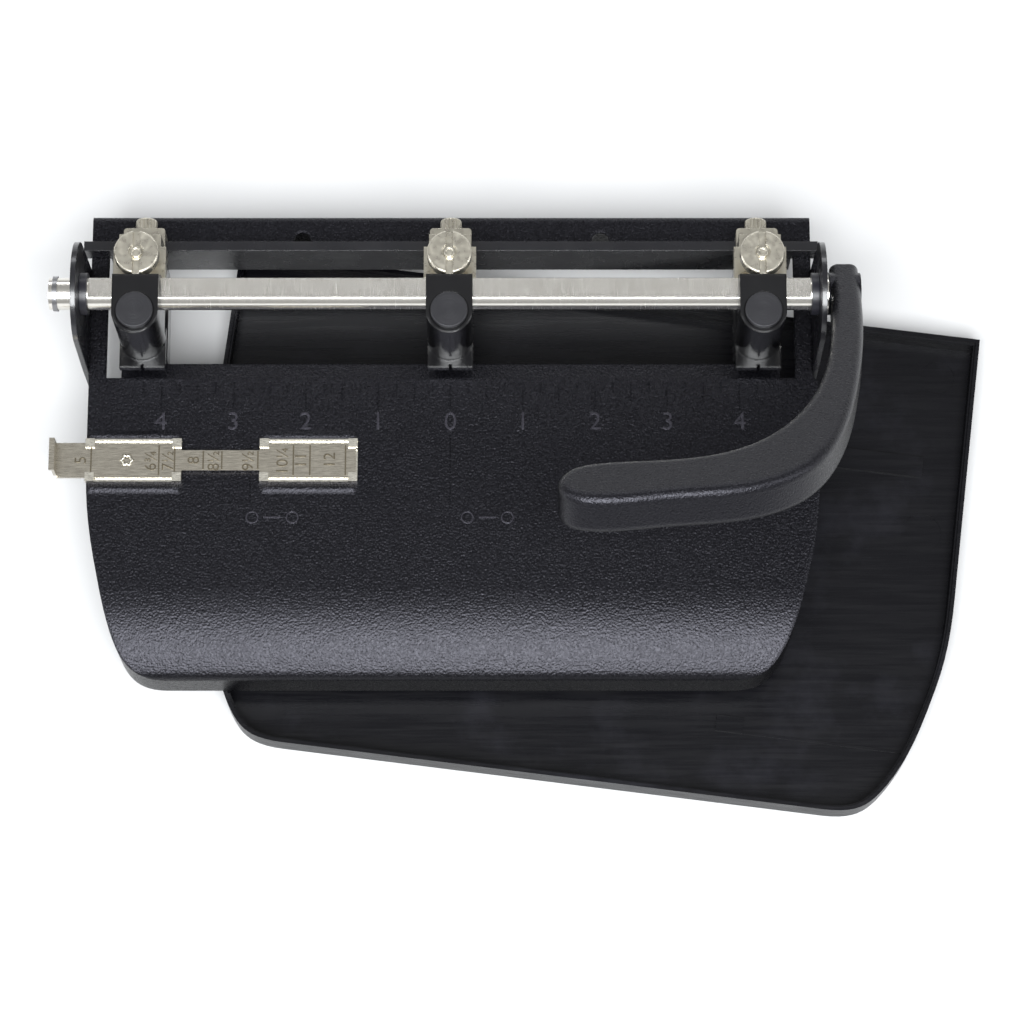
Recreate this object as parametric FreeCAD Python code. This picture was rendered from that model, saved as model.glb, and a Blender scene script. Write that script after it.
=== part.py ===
import FreeCAD, Part
import math
import os

os.makedirs("parts", exist_ok=True)

Vector = FreeCAD.Vector

# Adjustable three-hole punch. Millimetres, +Z up, X along the paper edge, Y towards the back.
# The origin is on the table, below the ruler's zero and half way along the base's depth.

# ---- Driving dimensions -------------------------------------------------------------------
# Heights above the table
PAD_THICK = 1.0
TRAY_FLOOR = 0.0
TRAY_RIM_TOP = 11.7
SKIRT_BOTTOM = 12.0
PLATE_TOP = 38.0
SHEET = 1.6

# Base plan
SIDE_X = 129.4
LEFT_TRIM = 2.0
BASE_CORNERS_IN = (0.0, 0.0)
REAR_SIDE_X = 127.6
REAR_Y = 84.0
FRONT_Y = -83.5
FRONT_FLAT_X = 99.0
STEP_Y = 22.0
FLAT_END_Y = -53.6
FRONT_SLOPE_R = 60.0
FRONT_BEND_R = 4.5

# Window in the base
WINDOW_X = 121.3
WINDOW_FRONT_Y = 23.4
WINDOW_REAR_Y = 73.8
LIP_REAR_Y = 29.0
LIP_END_X = 116.0
LIP_DROP = 1.3
NOTCH_R = 3.0
NOTCH_Y = 74.6
NOTCH_X = 53.0

# Ruler
INCH = 25.4
TICK_START_Y = 22.0
TICK_WIDTH = 0.5
TICK_DEPTH = 0.35
TICK_ENDS = {0: 11.8, 1: 18.0, 2: 15.0, 3: 18.0}
ZERO_LINE_END_Y = -21.9
SIDE_MARK_X = -69.85
SIDE_MARK_START_Y = 4.0

# Shaft
SHAFT_Y = 44.7
SHAFT_Z = PLATE_TOP + 29.0
SHAFT_R = 5.6
SHAFT_LEFT_X = -138.3
SHAFT_FLAT = 3.9
SHAFT_FLAT_ANGLE = 75.0
KEYWAY_WIDTH = 2.2
KEYWAY_DEPTH = 1.1
KEY_ANGLE = -60.0
KEY_FIT = 0.05
RING_X = -137.0
RING_THICK = 1.6
RING_GROOVE_DEPTH = 0.7
RING_STAND = 0.5
RING_GAP = 4.4
RUN_FIT = 0.05
CLEAR = 0.3

# Ears and bushings
EAR_THICK = 1.8
EAR_R = 17.9
EAR_OUTER_X = 129.4
EAR_FOOT_HALF = 19.0
EAR_WIDE_Z = PLATE_TOP + 2.0
EAR_BOTTOM = PLATE_TOP - 22.0
EAR_RIVET_R = 2.0
EAR_RIVET_HEAD_R = 3.2
EAR_RIVET_HEAD = 0.6
EAR_RIVET_TAIL = 1.0
EAR_RIVET_Z = PLATE_TOP - 14.0
EAR_RIVET_YS = (SHAFT_Y - 11.0, SHAFT_Y + 11.0)
BUSH_R = 7.3
BUSH_NECK_R = 6.6
BUSH_INNER_X = 125.0
BUSH_OUTER_X = 129.8

# Handle
HANDLE_TILT = 38.0
HANDLE_IN_X = 130.9
HANDLE_OUT_X = 141.9
BOSS_R = 7.3
HANDLE_END = 7.4
HANDLE_DEPTH = 15.0
HANDLE_EDGE_R = 3.0
HANDLE_BORE_END_X = 140.9
HANDLE_PIN_R = 1.5
HANDLE_PIN_X = 136.4
HANDLE_PIN_TOP = 6.0
HANDLE_PIN_BOTTOM = -8.0
RIGHT_WASHER_X = (130.0, 130.7)
RIGHT_WASHER_R = 7.0

# Rail behind the window
RAIL_FRONT_Y = 67.9
RAIL_THICK = 3.6
RAIL_TOP = PLATE_TOP + 8.0
RAIL_BOTTOM = PLATE_TOP - 12.0
RAIL_END_X = 129.6
RAIL_BODY_X = 120.6

# Punch heads
HEAD_XS = {"left": -107.95, "centre": 0.0, "right": 107.95}
HEAD_WIDTH = 16.0
PIN_Y = 35.5
PIN_BODY_R = 6.3
PIN_CAP_R = 6.4
PIN_CAP_THICK = 2.0
PIN_CAP_BEVEL = 0.3
PUNCH_HOLLOW_R = 9.0
PUNCH_HOLLOW = 0.8
SPRING_WIRE_R = 0.5
SPRING_TURNS = 4.5
SPRING_GAP = 0.1
PIN_TOP = PLATE_TOP + 40.0
PIN_BODY_BOTTOM = PLATE_TOP + 22.0
PUNCH_R = 3.57
PIN_TIP = PLATE_TOP + 5.0
HOUSING_TOP = PLATE_TOP + 38.4
HOUSING_R = 8.0
FOOT_BOTTOM = PLATE_TOP + 4.6
FOOT_THICK = 3.2
FOOT_FRONT_Y = 24.7
GUIDE_TOP = PLATE_TOP + 12.0
JAW_TOP = PLATE_TOP + 0.3
JAW_BOTTOM = PLATE_TOP - 10.0
JAW_FRONT_Y = 29.7
THROAT_Y = 48.2
NECK_REAR_Y = 62.4
SHOULDER_TOP = PLATE_TOP + 20.0
HOUSING_REAR_Y = 51.1
HOUSING_TOP_REAR_Y = 48.8
HOUSING_SLOPE_Z = (68.9, 71.4)
HOUSING_LOW = SHOULDER_TOP - 8.0
WEB_INSET = 1.2
FOOT_NOTCH = (1.0, 1.3)
CAP_TRAVEL = 7.0
JAW_LEAD = (1.2, 0.7)
STUD_DEPTH = 10.0
DIE_R = 5.0
DIE_HOLE_R = 3.62
DIE_THICK = 4.0

# Drive cam inside each head
CAM_WIDTH = 5.4
CAM_R = 7.2
CAM_REACH = 7.4
CAM_TIP_R = 2.0
CAM_SWING = 45.0
CAM_OPEN_FROM = -15.0
CAM_OPEN_TO = 162.0

# Clamp yoke, stud, nut and thumb screw
YOKE_WIDTH = 18.2
YOKE_TAIL_WIDTH = 14.6
YOKE_TOP = PLATE_TOP + 26.0
YOKE_FRONT_Y = 51.6
YOKE_STEP_Y = 63.1
YOKE_TAIL_TOP = PLATE_TOP + 12.0
YOKE_REAR_Y = 75.0
YOKE_TAIL_BOTTOM = PLATE_TOP + 0.5
YOKE_RAIL_GAP = 0.2
YOKE_CORNER_R = 1.2
STUD_Y = 56.9
STUD_R = 1.95
STUD_COLLAR_R = 4.6
STUD_DIMPLE_R = 1.2
STUD_DIMPLE = 0.25
NUT_R = 7.7
NUT_BOTTOM = PLATE_TOP + 33.5
NUT_TOP = PLATE_TOP + 38.5
NUT_SLOT = 2.4
NUT_SLOT_DEPTH = 1.4
NUT_BEVEL = 0.4
NUT_COUNTERBORE = 0.7
THUMB_Z = PLATE_TOP + 5.0
THUMB_R = 3.8
THUMB_SHANK_R = 1.9
THUMB_END_Y = 80.4
THUMB_RIDGES = 18
THUMB_RIDGE_R = 0.3
THUMB_EDGE_R = 1.0
THUMB_GAP = 0.2

# Paper gauge
GAUGE_Y = -7.3
GAUGE_WIDTH = 12.6
GAUGE_NECK_WIDTH = 7.3
GAUGE_THICK = 1.0
GAUGE_STOP_X = -137.6
GAUGE_END_X = -33.0
GAUGE_NECK_X = (-93.9, -66.6)
CLIP_SPANS = {"left_gauge_clip": (-127.5, -93.9), "right_gauge_clip": (-66.6, -32.4)}
CLIP_WIDTH = 15.5
CLIP_SHEET = 0.7
CLIP_TAB = 3.2
CLIP_RIVET_R = 1.5
CLIP_RIVET_INSET = 7.0
CLIP_RIVET_TAIL = 1.0
GAUGE_GAP = 0.15
STOP_SHEET = 1.0
STOP_RISE = 6.5
STOP_HOOK_X = -139.5
STOP_NOTCH = 1.0
STAR_X = -113.0
STAR_R = 1.6
STAR_FLOOR = 0.4
RIDGE_R = 2.6
RIDGE_RISE = 0.5
RIDGE_YS = (2.3, -16.9)
RIDGE_ROOT = 1.0

# Chip tray
TRAY_MARGIN = 5.3
TRAY_WALL = 2.0
TRAY_SHEET = 2.0
RIM_INSET = 1.3
RIM_STEP = 1.6
TRAY_TURN = -7.2
TRAY_SHIFT = (45.5, -25.5)
TRAY_LEFT_TRIM = 3.4
TRAY_CORNERS_IN = (5.0, 2.5)
TRAY_BAR = (60.0, 119.5, 37.9, 45.4, 1.2)
TRAY_TAB = (56.2, 65.8, -63.6, -57.9, 0.8)
TRAY_LINE = (65.0, 124.5, -63.6, -62.8, 0.4)
EJECTOR_SPOTS = ((121.6, 76.2, 6.0), (121.4, 17.4, 7.1), (-118.0, 76.2, 6.0), (-118.0, 17.4, 7.1))
EJECTOR_DEPTH = 0.3
PAD_R = 7.0
PAD_SPOTS = ((-108.0, 68.0), (108.0, 68.0), (-96.0, -62.0), (96.0, -62.0))


# ---- Small shape helpers ------------------------------------------------------------------
def block(x0, x1, y0, y1, z0, z1):
    return Part.makeBox(x1 - x0, y1 - y0, z1 - z0, Vector(x0, y0, z0))


def rod(radius, length, start, direction):
    return Part.makeCylinder(radius, length, Vector(*start), Vector(*direction))


def path_edges(steps):
    """Edges through steps: ("line", end) or ("arc", middle, end), after a start point."""
    here = Vector(*steps[0])
    edges = []
    for step in steps[1:]:
        end = Vector(*step[-1])
        if step[0] == "line":
            edges.append(Part.LineSegment(here, end).toShape())
        else:
            edges.append(Part.Arc(here, Vector(*step[1]), end).toShape())
        here = end
    return edges


def solid_from(steps, sweep):
    face = Part.Face(Part.Wire(path_edges(steps)))
    return face.extrude(Vector(*sweep))


def save(name, shape):
    solids = shape.Solids
    result = solids[0] if len(solids) == 1 else Part.makeCompound(solids)
    if not result.isValid():
        raise RuntimeError(name + " is not a valid solid")
    result.exportStep("parts/" + name + ".step")


def fillet_where(shape, radius, wanted):
    edges = [edge for edge in shape.Edges if wanted(edge)]
    return shape.makeFillet(radius, edges)


def about_x(shape, y, z, degrees):
    turned = shape.copy()
    turned.rotate(Vector(0, y, z), Vector(1, 0, 0), degrees)
    return turned


# ---- Base cover ---------------------------------------------------------------------------
def base_side(sign, grow, trim, corner, z):
    """Edge of one side of the base's plan, from its straight part round the front corner."""
    side = SIDE_X + grow - trim
    front = FRONT_Y - grow
    points = [(side, -8.0), (127.7 + grow - trim, -32.0), (124.4 + grow - 0.9 * trim - 0.2 * corner, -48.5),
              (119.6 + grow - 0.5 * trim - 0.6 * corner, -65.0 - grow / 4),
              (113.2 + grow * 0.8 - corner, -77.4 - grow * 0.7), (FRONT_FLAT_X - corner, front)]
    curve = Part.BSplineCurve()
    places = [Vector(sign * px, py, z) for px, py in points]
    curve.interpolate(Points=places, InitialTangent=Vector(0, -1, 0), FinalTangent=Vector(-sign, 0, 0),
                      Parameters=spaced(places))
    return curve.toShape()


def spaced(places):
    """Spline parameters that grow with the distance between points."""
    values = [0.0]
    for here, there in zip(places, places[1:]):
        values.append(values[-1] + here.distanceToPoint(there))
    return values


def base_plan(grow, rear_side, rear, step, trim, corners_in, z):
    """Closed plan wire of the base or the tray; rear_side is half the width behind the step."""
    left_in, right_in = corners_in
    front = FRONT_Y - grow
    corners = half_plan(SIDE_X + grow, rear_side, rear, step)
    corners += [(-px, py) for px, py in reversed(half_plan(SIDE_X + grow - trim, rear_side, rear, step))]
    edges = []
    for here, there in zip(corners, corners[1:]):
        start, end = Vector(here[0], here[1], z), Vector(there[0], there[1], z)
        edges.append(Part.LineSegment(start, end).toShape())
    edges.append(base_side(-1, grow, trim, left_in, z))
    front_left = Vector(left_in - FRONT_FLAT_X, front, z)
    edges.append(Part.LineSegment(front_left, Vector(FRONT_FLAT_X - right_in, front, z)).toShape())
    edges.append(base_side(1, grow, 0.0, right_in, z))
    return Part.Wire(Part.__sortEdges__(edges))


def half_plan(side, rear_side, rear, step):
    """Corner points of one side of the plan, from its straight part to the rear."""
    return [(side, -8.0), (side, step), (rear_side, step + 2.0), (rear_side, rear)]


def cover_body(inset):
    """Solid bounded by the cover's outer skin, or by its inner skin when inset."""
    rear = REAR_Y - inset
    plan = base_plan(-inset, REAR_SIDE_X - inset, rear, STEP_Y - inset, LEFT_TRIM,
                     BASE_CORNERS_IN, SKIRT_BOTTOM)
    upright = Part.Face(plan).extrude(Vector(0, 0, PLATE_TOP))
    slope_r = FRONT_SLOPE_R - inset
    bend_r = FRONT_BEND_R - inset
    front = FRONT_Y + inset
    top = PLATE_TOP - inset
    run = (FLAT_END_Y - front - bend_r) / (1 - bend_r / slope_r)
    lean = math.asin(run / slope_r)
    slope_mid = (FLAT_END_Y - slope_r * math.sin(lean / 2), top - slope_r * (1 - math.cos(lean / 2)))
    slope_end = (FLAT_END_Y - run, top - slope_r * (1 - math.cos(lean)))
    bend_y = slope_end[0] + bend_r * math.sin(lean)
    bend_z = slope_end[1] - bend_r * math.cos(lean)
    turn = (lean + math.pi / 2) / 2
    bend_mid = (bend_y - bend_r * math.sin(turn), bend_z + bend_r * math.cos(turn))
    x = -SIDE_X - 10
    low = SKIRT_BOTTOM - 1
    rear_bend = 2.5 - inset
    profile = [
        (x, rear, low),
        ("line", (x, rear, top - rear_bend)),
        ("arc", (x, rear - rear_bend * (1 - math.sqrt(0.5)), top - rear_bend * (1 - math.sqrt(0.5))),
         (x, rear - rear_bend, top)),
        ("line", (x, FLAT_END_Y, top)),
        ("arc", (x,) + slope_mid, (x,) + slope_end),
        ("arc", (x,) + bend_mid, (x, front, bend_z)),
        ("line", (x, front, low)),
        ("line", (x, rear, low)),
    ]
    return upright.common(solid_from(profile, (2 * SIDE_X + 20, 0, 0)))


def ruler_ticks():
    """Shallow grooves of the ruler, four to the inch, and the two long index lines."""
    tools = []
    floor = PLATE_TOP - TICK_DEPTH
    for quarter in range(-18, 19):
        x = quarter * INCH / 4
        if abs(x) > WINDOW_X - 8:
            continue
        end = TICK_ENDS[quarter % 4]
        half = TICK_WIDTH / 2
        tools.append(block(x - half, x + half, end, TICK_START_Y, floor, PLATE_TOP + 1))
    half = TICK_WIDTH / 2
    tools.append(block(-half, half, ZERO_LINE_END_Y, 3.0, floor, PLATE_TOP + 1))
    tools.append(block(SIDE_MARK_X - half, SIDE_MARK_X + half, ZERO_LINE_END_Y, SIDE_MARK_START_Y,
                       floor, PLATE_TOP + 1))
    return Part.makeCompound(tools)


def gauge_ridges():
    """Low rounded ridges pressed in the plate along both sides of each gauge clip."""
    ridges = []
    for start, end in CLIP_SPANS.values():
        for y in RIDGE_YS:
            bar = rod(RIDGE_R, end - start - 2, (start + 1, y, PLATE_TOP + RIDGE_RISE - RIDGE_R), (1, 0, 0))
            keep = block(start, end, y - RIDGE_R, y + RIDGE_R, PLATE_TOP - RIDGE_ROOT, PLATE_TOP + RIDGE_R)
            ridges.append(bar.common(keep))
    return ridges


def base_cover():
    """Pressed cover: plate, skirt, window with its lip and notches, ruler, ridges and rivet holes."""
    shell = cover_body(0.0)
    shell = shell.cut(cover_body(SHEET))
    shell = shell.cut(block(-SIDE_X, SIDE_X, FRONT_Y, REAR_Y, 0, SKIRT_BOTTOM))
    low = PLATE_TOP - SHEET - 1
    high = PLATE_TOP + 1
    window = block(-WINDOW_X, WINDOW_X, WINDOW_FRONT_Y, WINDOW_REAR_Y, low, high)
    shell = shell.cut(window)
    for x in (-NOTCH_X, NOTCH_X):
        shell = shell.cut(rod(NOTCH_R, SHEET + 2, (x, NOTCH_Y, low), (0, 0, 1)))
    lip_steps = [
        (-LIP_END_X, WINDOW_FRONT_Y - 0.5, PLATE_TOP),
        ("line", (-LIP_END_X, LIP_REAR_Y, PLATE_TOP - LIP_DROP)),
        ("line", (-LIP_END_X, LIP_REAR_Y, PLATE_TOP - LIP_DROP - SHEET)),
        ("line", (-LIP_END_X, WINDOW_FRONT_Y - 0.5, PLATE_TOP - SHEET)),
        ("line", (-LIP_END_X, WINDOW_FRONT_Y - 0.5, PLATE_TOP)),
    ]
    shell = shell.fuse(solid_from(lip_steps, (2 * LIP_END_X, 0, 0)))
    shell = shell.cut(ruler_ticks())
    shell = shell.fuse(gauge_ridges())
    rivets = [rod(CLIP_RIVET_R, 4 * SHEET, (x, GAUGE_Y, PLATE_TOP - 2 * SHEET), (0, 0, 1))
              for x in clip_rivet_xs()]
    shell = shell.cut(Part.makeCompound(rivets))
    holes = [rod(EAR_RIVET_R, 4 * SIDE_X, (-2 * SIDE_X, y, EAR_RIVET_Z), (1, 0, 0))
             for y in EAR_RIVET_YS]
    shell = shell.cut(Part.makeCompound(holes))
    return shell.removeSplitter()


# ---- Ears, rivets and bushings ------------------------------------------------------------
def ear(side):
    """Upright bearing plate on one side, rounded about the shaft and wider at its foot."""
    x = side * EAR_OUTER_X
    lean = math.asin((EAR_FOOT_HALF - EAR_R) / (SHAFT_Z - EAR_WIDE_Z))
    edge_y = EAR_R * math.cos(lean)
    edge_z = SHAFT_Z + EAR_R * math.sin(lean)
    steps = [
        (x, SHAFT_Y - EAR_FOOT_HALF, EAR_BOTTOM),
        ("line", (x, SHAFT_Y - EAR_FOOT_HALF, EAR_WIDE_Z)),
        ("line", (x, SHAFT_Y - edge_y, edge_z)),
        ("arc", (x, SHAFT_Y, SHAFT_Z + EAR_R), (x, SHAFT_Y + edge_y, edge_z)),
        ("line", (x, SHAFT_Y + EAR_FOOT_HALF, EAR_WIDE_Z)),
        ("line", (x, SHAFT_Y + EAR_FOOT_HALF, EAR_BOTTOM)),
        ("line", (x, SHAFT_Y - EAR_FOOT_HALF, EAR_BOTTOM)),
    ]
    plate = solid_from(steps, (-side * EAR_THICK, 0, 0))
    plate = plate.cut(rod(BUSH_NECK_R, 20, (x - 10, SHAFT_Y, SHAFT_Z), (1, 0, 0)))
    for y in EAR_RIVET_YS:
        plate = plate.cut(rod(EAR_RIVET_R, 20, (x - 10, y, EAR_RIVET_Z), (1, 0, 0)))
    return plate


def ear_rivets():
    """Flat-headed rivets that hold both ears to the sides of the cover."""
    rivets = []
    inner_x = REAR_SIDE_X - SHEET
    for side in (-1, 1):
        for y in EAR_RIVET_YS:
            shank = rod(EAR_RIVET_R, EAR_OUTER_X - inner_x, (side * inner_x, y, EAR_RIVET_Z), (side, 0, 0))
            head = rod(EAR_RIVET_HEAD_R, EAR_RIVET_HEAD, (side * EAR_OUTER_X, y, EAR_RIVET_Z), (side, 0, 0))
            tail = rod(EAR_RIVET_HEAD_R, EAR_RIVET_TAIL, (side * inner_x, y, EAR_RIVET_Z), (-side, 0, 0))
            rivets.append(shank.fuse([head, tail]).removeSplitter())
    return Part.makeCompound(rivets)


def bushing(side):
    """Flanged bearing pressed into an ear from inside."""
    inner_face = EAR_OUTER_X - EAR_THICK
    body = rod(BUSH_NECK_R, BUSH_OUTER_X - inner_face, (side * inner_face, SHAFT_Y, SHAFT_Z), (side, 0, 0))
    flange = rod(BUSH_R, inner_face - BUSH_INNER_X, (side * BUSH_INNER_X, SHAFT_Y, SHAFT_Z), (side, 0, 0))
    body = body.fuse(flange)
    bore = rod(SHAFT_R + RUN_FIT, 10, (side * (BUSH_INNER_X - 1), SHAFT_Y, SHAFT_Z), (side, 0, 0))
    return body.cut(bore).removeSplitter()


# ---- Rail ---------------------------------------------------------------------------------
def rear_rail():
    """Flat bar on edge behind the window; its shoulders sit on the cover's side beams."""
    rear = RAIL_FRONT_Y + RAIL_THICK
    body = block(-RAIL_BODY_X, RAIL_BODY_X, RAIL_FRONT_Y, rear, RAIL_BOTTOM, RAIL_TOP)
    shoulders = block(-RAIL_END_X, RAIL_END_X, RAIL_FRONT_Y, rear, PLATE_TOP, RAIL_TOP)
    return body.fuse(shoulders).removeSplitter()


# ---- Gauge --------------------------------------------------------------------------------
def clip_rivet_xs():
    xs = []
    for start, end in CLIP_SPANS.values():
        xs += [start + CLIP_RIVET_INSET, end - CLIP_RIVET_INSET]
    return xs


def gauge_clip(span):
    """Folded channel for the gauge strip, with a tab bent over at each corner."""
    start, end = span
    half = CLIP_WIDTH / 2
    floor_top = PLATE_TOP + CLIP_SHEET
    wall_top = floor_top + GAUGE_THICK + 2 * GAUGE_GAP
    channel = block(start, end, GAUGE_Y - half, GAUGE_Y + half, PLATE_TOP, floor_top)
    parts = []
    for sign in (-1, 1):
        y0, y1 = sorted((GAUGE_Y + sign * half, GAUGE_Y + sign * (half - CLIP_SHEET)))
        parts.append(block(start, end, y0, y1, PLATE_TOP, wall_top))
        t0, t1 = sorted((GAUGE_Y + sign * half, GAUGE_Y + sign * (half - CLIP_TAB)))
        for x0, x1 in ((start, start + CLIP_TAB), (end - CLIP_TAB, end)):
            parts.append(block(x0, x1, t0, t1, wall_top, wall_top + CLIP_SHEET))
    channel = channel.fuse(parts)
    for x in (start + CLIP_RIVET_INSET, end - CLIP_RIVET_INSET):
        channel = channel.cut(rod(CLIP_RIVET_R, 4, (x, GAUGE_Y, PLATE_TOP - 1), (0, 0, 1)))
    return channel.removeSplitter()


def clip_rivets():
    """Flush rivets that hold the two gauge clips down on the cover."""
    low = PLATE_TOP - SHEET
    rivets = []
    for x in clip_rivet_xs():
        shank = rod(CLIP_RIVET_R, SHEET + CLIP_SHEET, (x, GAUGE_Y, low), (0, 0, 1))
        tail = rod(CLIP_RIVET_R + 1, CLIP_RIVET_TAIL, (x, GAUGE_Y, low), (0, 0, -1))
        rivets.append(shank.fuse(tail).removeSplitter())
    return Part.makeCompound(rivets)


def paper_gauge():
    """Stepped sliding strip with a stop turned up at its left end."""
    bottom = PLATE_TOP + CLIP_SHEET + GAUGE_GAP
    top = bottom + GAUGE_THICK
    half = GAUGE_WIDTH / 2
    neck = GAUGE_NECK_WIDTH / 2
    neck_from, neck_to = GAUGE_NECK_X
    strip = block(GAUGE_STOP_X, neck_from, GAUGE_Y - half, GAUGE_Y + half, bottom, top)
    strip = strip.fuse(block(neck_from, neck_to, GAUGE_Y - neck, GAUGE_Y + neck, bottom, top))
    strip = strip.fuse(block(neck_to, GAUGE_END_X, GAUGE_Y - half, GAUGE_Y + half, bottom, top))
    front, rear = GAUGE_Y - half + STOP_NOTCH, GAUGE_Y + half
    rise = top + STOP_RISE
    stop = block(GAUGE_STOP_X - STOP_SHEET, GAUGE_STOP_X, front, rear, bottom, rise)
    hook = block(STOP_HOOK_X, GAUGE_STOP_X, front, rear, rise - STOP_SHEET, rise)
    strip = strip.fuse([stop, hook])
    star = rod(STAR_R, GAUGE_THICK + 1, (STAR_X, GAUGE_Y, bottom + STAR_FLOOR), (0, 0, 1))
    return strip.cut(star).removeSplitter()


# ---- Shaft, cams and handle ---------------------------------------------------------------
def flat_tool(x0, x1):
    """Block that cuts the shaft's long flat."""
    tool = block(x0, x1, SHAFT_Y + SHAFT_FLAT, SHAFT_Y + 2 * SHAFT_R, SHAFT_Z - SHAFT_R, SHAFT_Z + SHAFT_R)
    return about_x(tool, SHAFT_Y, SHAFT_Z, SHAFT_FLAT_ANGLE)


def drive_shaft():
    """Ground bar across the punch, with a clearance flat, a keyway and a ring groove."""
    length = HANDLE_BORE_END_X - SHAFT_LEFT_X
    bar = rod(SHAFT_R, length, (SHAFT_LEFT_X, SHAFT_Y, SHAFT_Z), (1, 0, 0))
    end = BUSH_INNER_X - CLEAR
    bar = bar.cut(flat_tool(-end, end))
    key = block(-end, end, SHAFT_Y + SHAFT_R - KEYWAY_DEPTH, SHAFT_Y + 2 * SHAFT_R,
                SHAFT_Z - KEYWAY_WIDTH / 2, SHAFT_Z + KEYWAY_WIDTH / 2)
    bar = bar.cut(about_x(key, SHAFT_Y, SHAFT_Z, KEY_ANGLE))
    groove = rod(SHAFT_R + 1, RING_THICK, (RING_X, SHAFT_Y, SHAFT_Z), (1, 0, 0))
    groove = groove.cut(rod(SHAFT_R - RING_GROOVE_DEPTH, RING_THICK, (RING_X, SHAFT_Y, SHAFT_Z), (1, 0, 0)))
    bar = bar.cut(groove)
    bar = bar.cut(handle_pin())
    return bar.removeSplitter()


def retaining_ring():
    """Open spring ring in the shaft's groove."""
    ring = rod(SHAFT_R + RING_STAND, RING_THICK, (RING_X, SHAFT_Y, SHAFT_Z), (1, 0, 0))
    ring = ring.cut(rod(SHAFT_R - RING_GROOVE_DEPTH, RING_THICK, (RING_X, SHAFT_Y, SHAFT_Z), (1, 0, 0)))
    gap = block(RING_X - 1, RING_X + RING_THICK + 1, SHAFT_Y - RING_GAP / 2, SHAFT_Y + RING_GAP / 2,
                SHAFT_Z - 2 * SHAFT_R, SHAFT_Z)
    return ring.cut(gap)


def right_washer():
    """Thin washer between the right ear and the handle's boss."""
    x0, x1 = RIGHT_WASHER_X
    ring = rod(RIGHT_WASHER_R, x1 - x0, (x0, SHAFT_Y, SHAFT_Z), (1, 0, 0))
    return ring.cut(rod(SHAFT_R + RUN_FIT, x1 - x0, (x0, SHAFT_Y, SHAFT_Z), (1, 0, 0)))


def drive_cam(x):
    """Open cam ring keyed to the shaft, with a rounded finger that drives the pin."""
    x0 = x - CAM_WIDTH / 2
    ring = rod(CAM_R, CAM_WIDTH, (x0, SHAFT_Y, SHAFT_Z), (1, 0, 0))
    ring = ring.fuse(cam_finger(x0))
    ring = ring.cut(rod(SHAFT_R + RUN_FIT, CAM_WIDTH, (x0, SHAFT_Y, SHAFT_Z), (1, 0, 0)))
    wedge = Part.makeCylinder(3 * CAM_R, CAM_WIDTH, Vector(x0, SHAFT_Y, SHAFT_Z), Vector(1, 0, 0),
                              CAM_OPEN_TO - CAM_OPEN_FROM)
    ring = ring.cut(about_x(wedge, SHAFT_Y, SHAFT_Z, CAM_OPEN_FROM - wedge_start(wedge)))
    key_half = KEYWAY_WIDTH / 2 - KEY_FIT
    key = block(x0, x0 + CAM_WIDTH, SHAFT_Y + SHAFT_R - KEYWAY_DEPTH + 2 * KEY_FIT, SHAFT_Y + CAM_R - 1.0,
                SHAFT_Z - key_half, SHAFT_Z + key_half)
    ring = ring.fuse(about_x(key, SHAFT_Y, SHAFT_Z, KEY_ANGLE))
    return ring.removeSplitter()


def wedge_start(wedge):
    """Angle from +Y towards +Z at which a freshly made wedge begins."""
    centre = wedge.CenterOfMass
    middle = math.degrees(math.atan2(centre.z - SHAFT_Z, centre.y - SHAFT_Y))
    return middle - (CAM_OPEN_TO - CAM_OPEN_FROM) / 2


def cam_finger(x0):
    """Finger of the cam, pointing forwards and up by half of the swing at rest."""
    lift = CAM_SWING / 2
    tip = rod(CAM_TIP_R, CAM_WIDTH, (x0, SHAFT_Y - CAM_REACH, SHAFT_Z), (1, 0, 0))
    root = block(x0, x0 + CAM_WIDTH, SHAFT_Y - CAM_REACH, SHAFT_Y, SHAFT_Z - CAM_TIP_R, SHAFT_Z + CAM_TIP_R)
    return about_x(tip.fuse(root), SHAFT_Y, SHAFT_Z, -lift)


def handle():
    """Curved lever: hub on the shaft, arm forwards, then a cross grip."""
    low = -HANDLE_DEPTH / 2
    inner_side = [(131.5, -HANDLE_END), (131.5, 0), (131.3, 12), (129.9, 28), (124.4, 60), (110, 88),
                  (98, 98.6), (84, 104.6), (66, 107.3)]
    grip_end = [(50, 108.8), (41, 111.8), (36.2, 119.4), (39.5, 126.8), (47, 129.3)]
    outer_side = [(70, 127), (92, 124.2), (106, 119.8), (117, 112), (128.5, 93), (136, 65), (140.3, 34),
                  (141.4, 12), (141.5, 0), (141.5, -HANDLE_END)]
    outline = Part.BSplineCurve()
    outline.interpolate([Vector(px, py, low) for px, py in inner_side + grip_end + outer_side])
    root = Part.LineSegment(outline.EndPoint, outline.StartPoint)
    plan = Part.Face(Part.Wire([outline.toShape(), root.toShape()]))
    lever = plan.extrude(Vector(0, 0, HANDLE_DEPTH))
    lever = fillet_where(lever, HANDLE_EDGE_R, lambda edge: long_flat_edge(edge, low))
    boss = rod(BOSS_R, HANDLE_OUT_X - HANDLE_IN_X, (HANDLE_IN_X, 0, 0), (1, 0, 0))
    lever = lever.fuse(boss)
    lever = lever.cut(rod(SHAFT_R, HANDLE_BORE_END_X - HANDLE_IN_X, (HANDLE_IN_X, 0, 0), (1, 0, 0)))
    lever = lever.removeSplitter()
    mirrored = lever.mirror(Vector(0, 0, 0), Vector(0, 1, 0))
    mirrored.translate(Vector(0, SHAFT_Y, SHAFT_Z))
    return about_x(mirrored, SHAFT_Y, SHAFT_Z, -HANDLE_TILT).cut(handle_pin())


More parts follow.
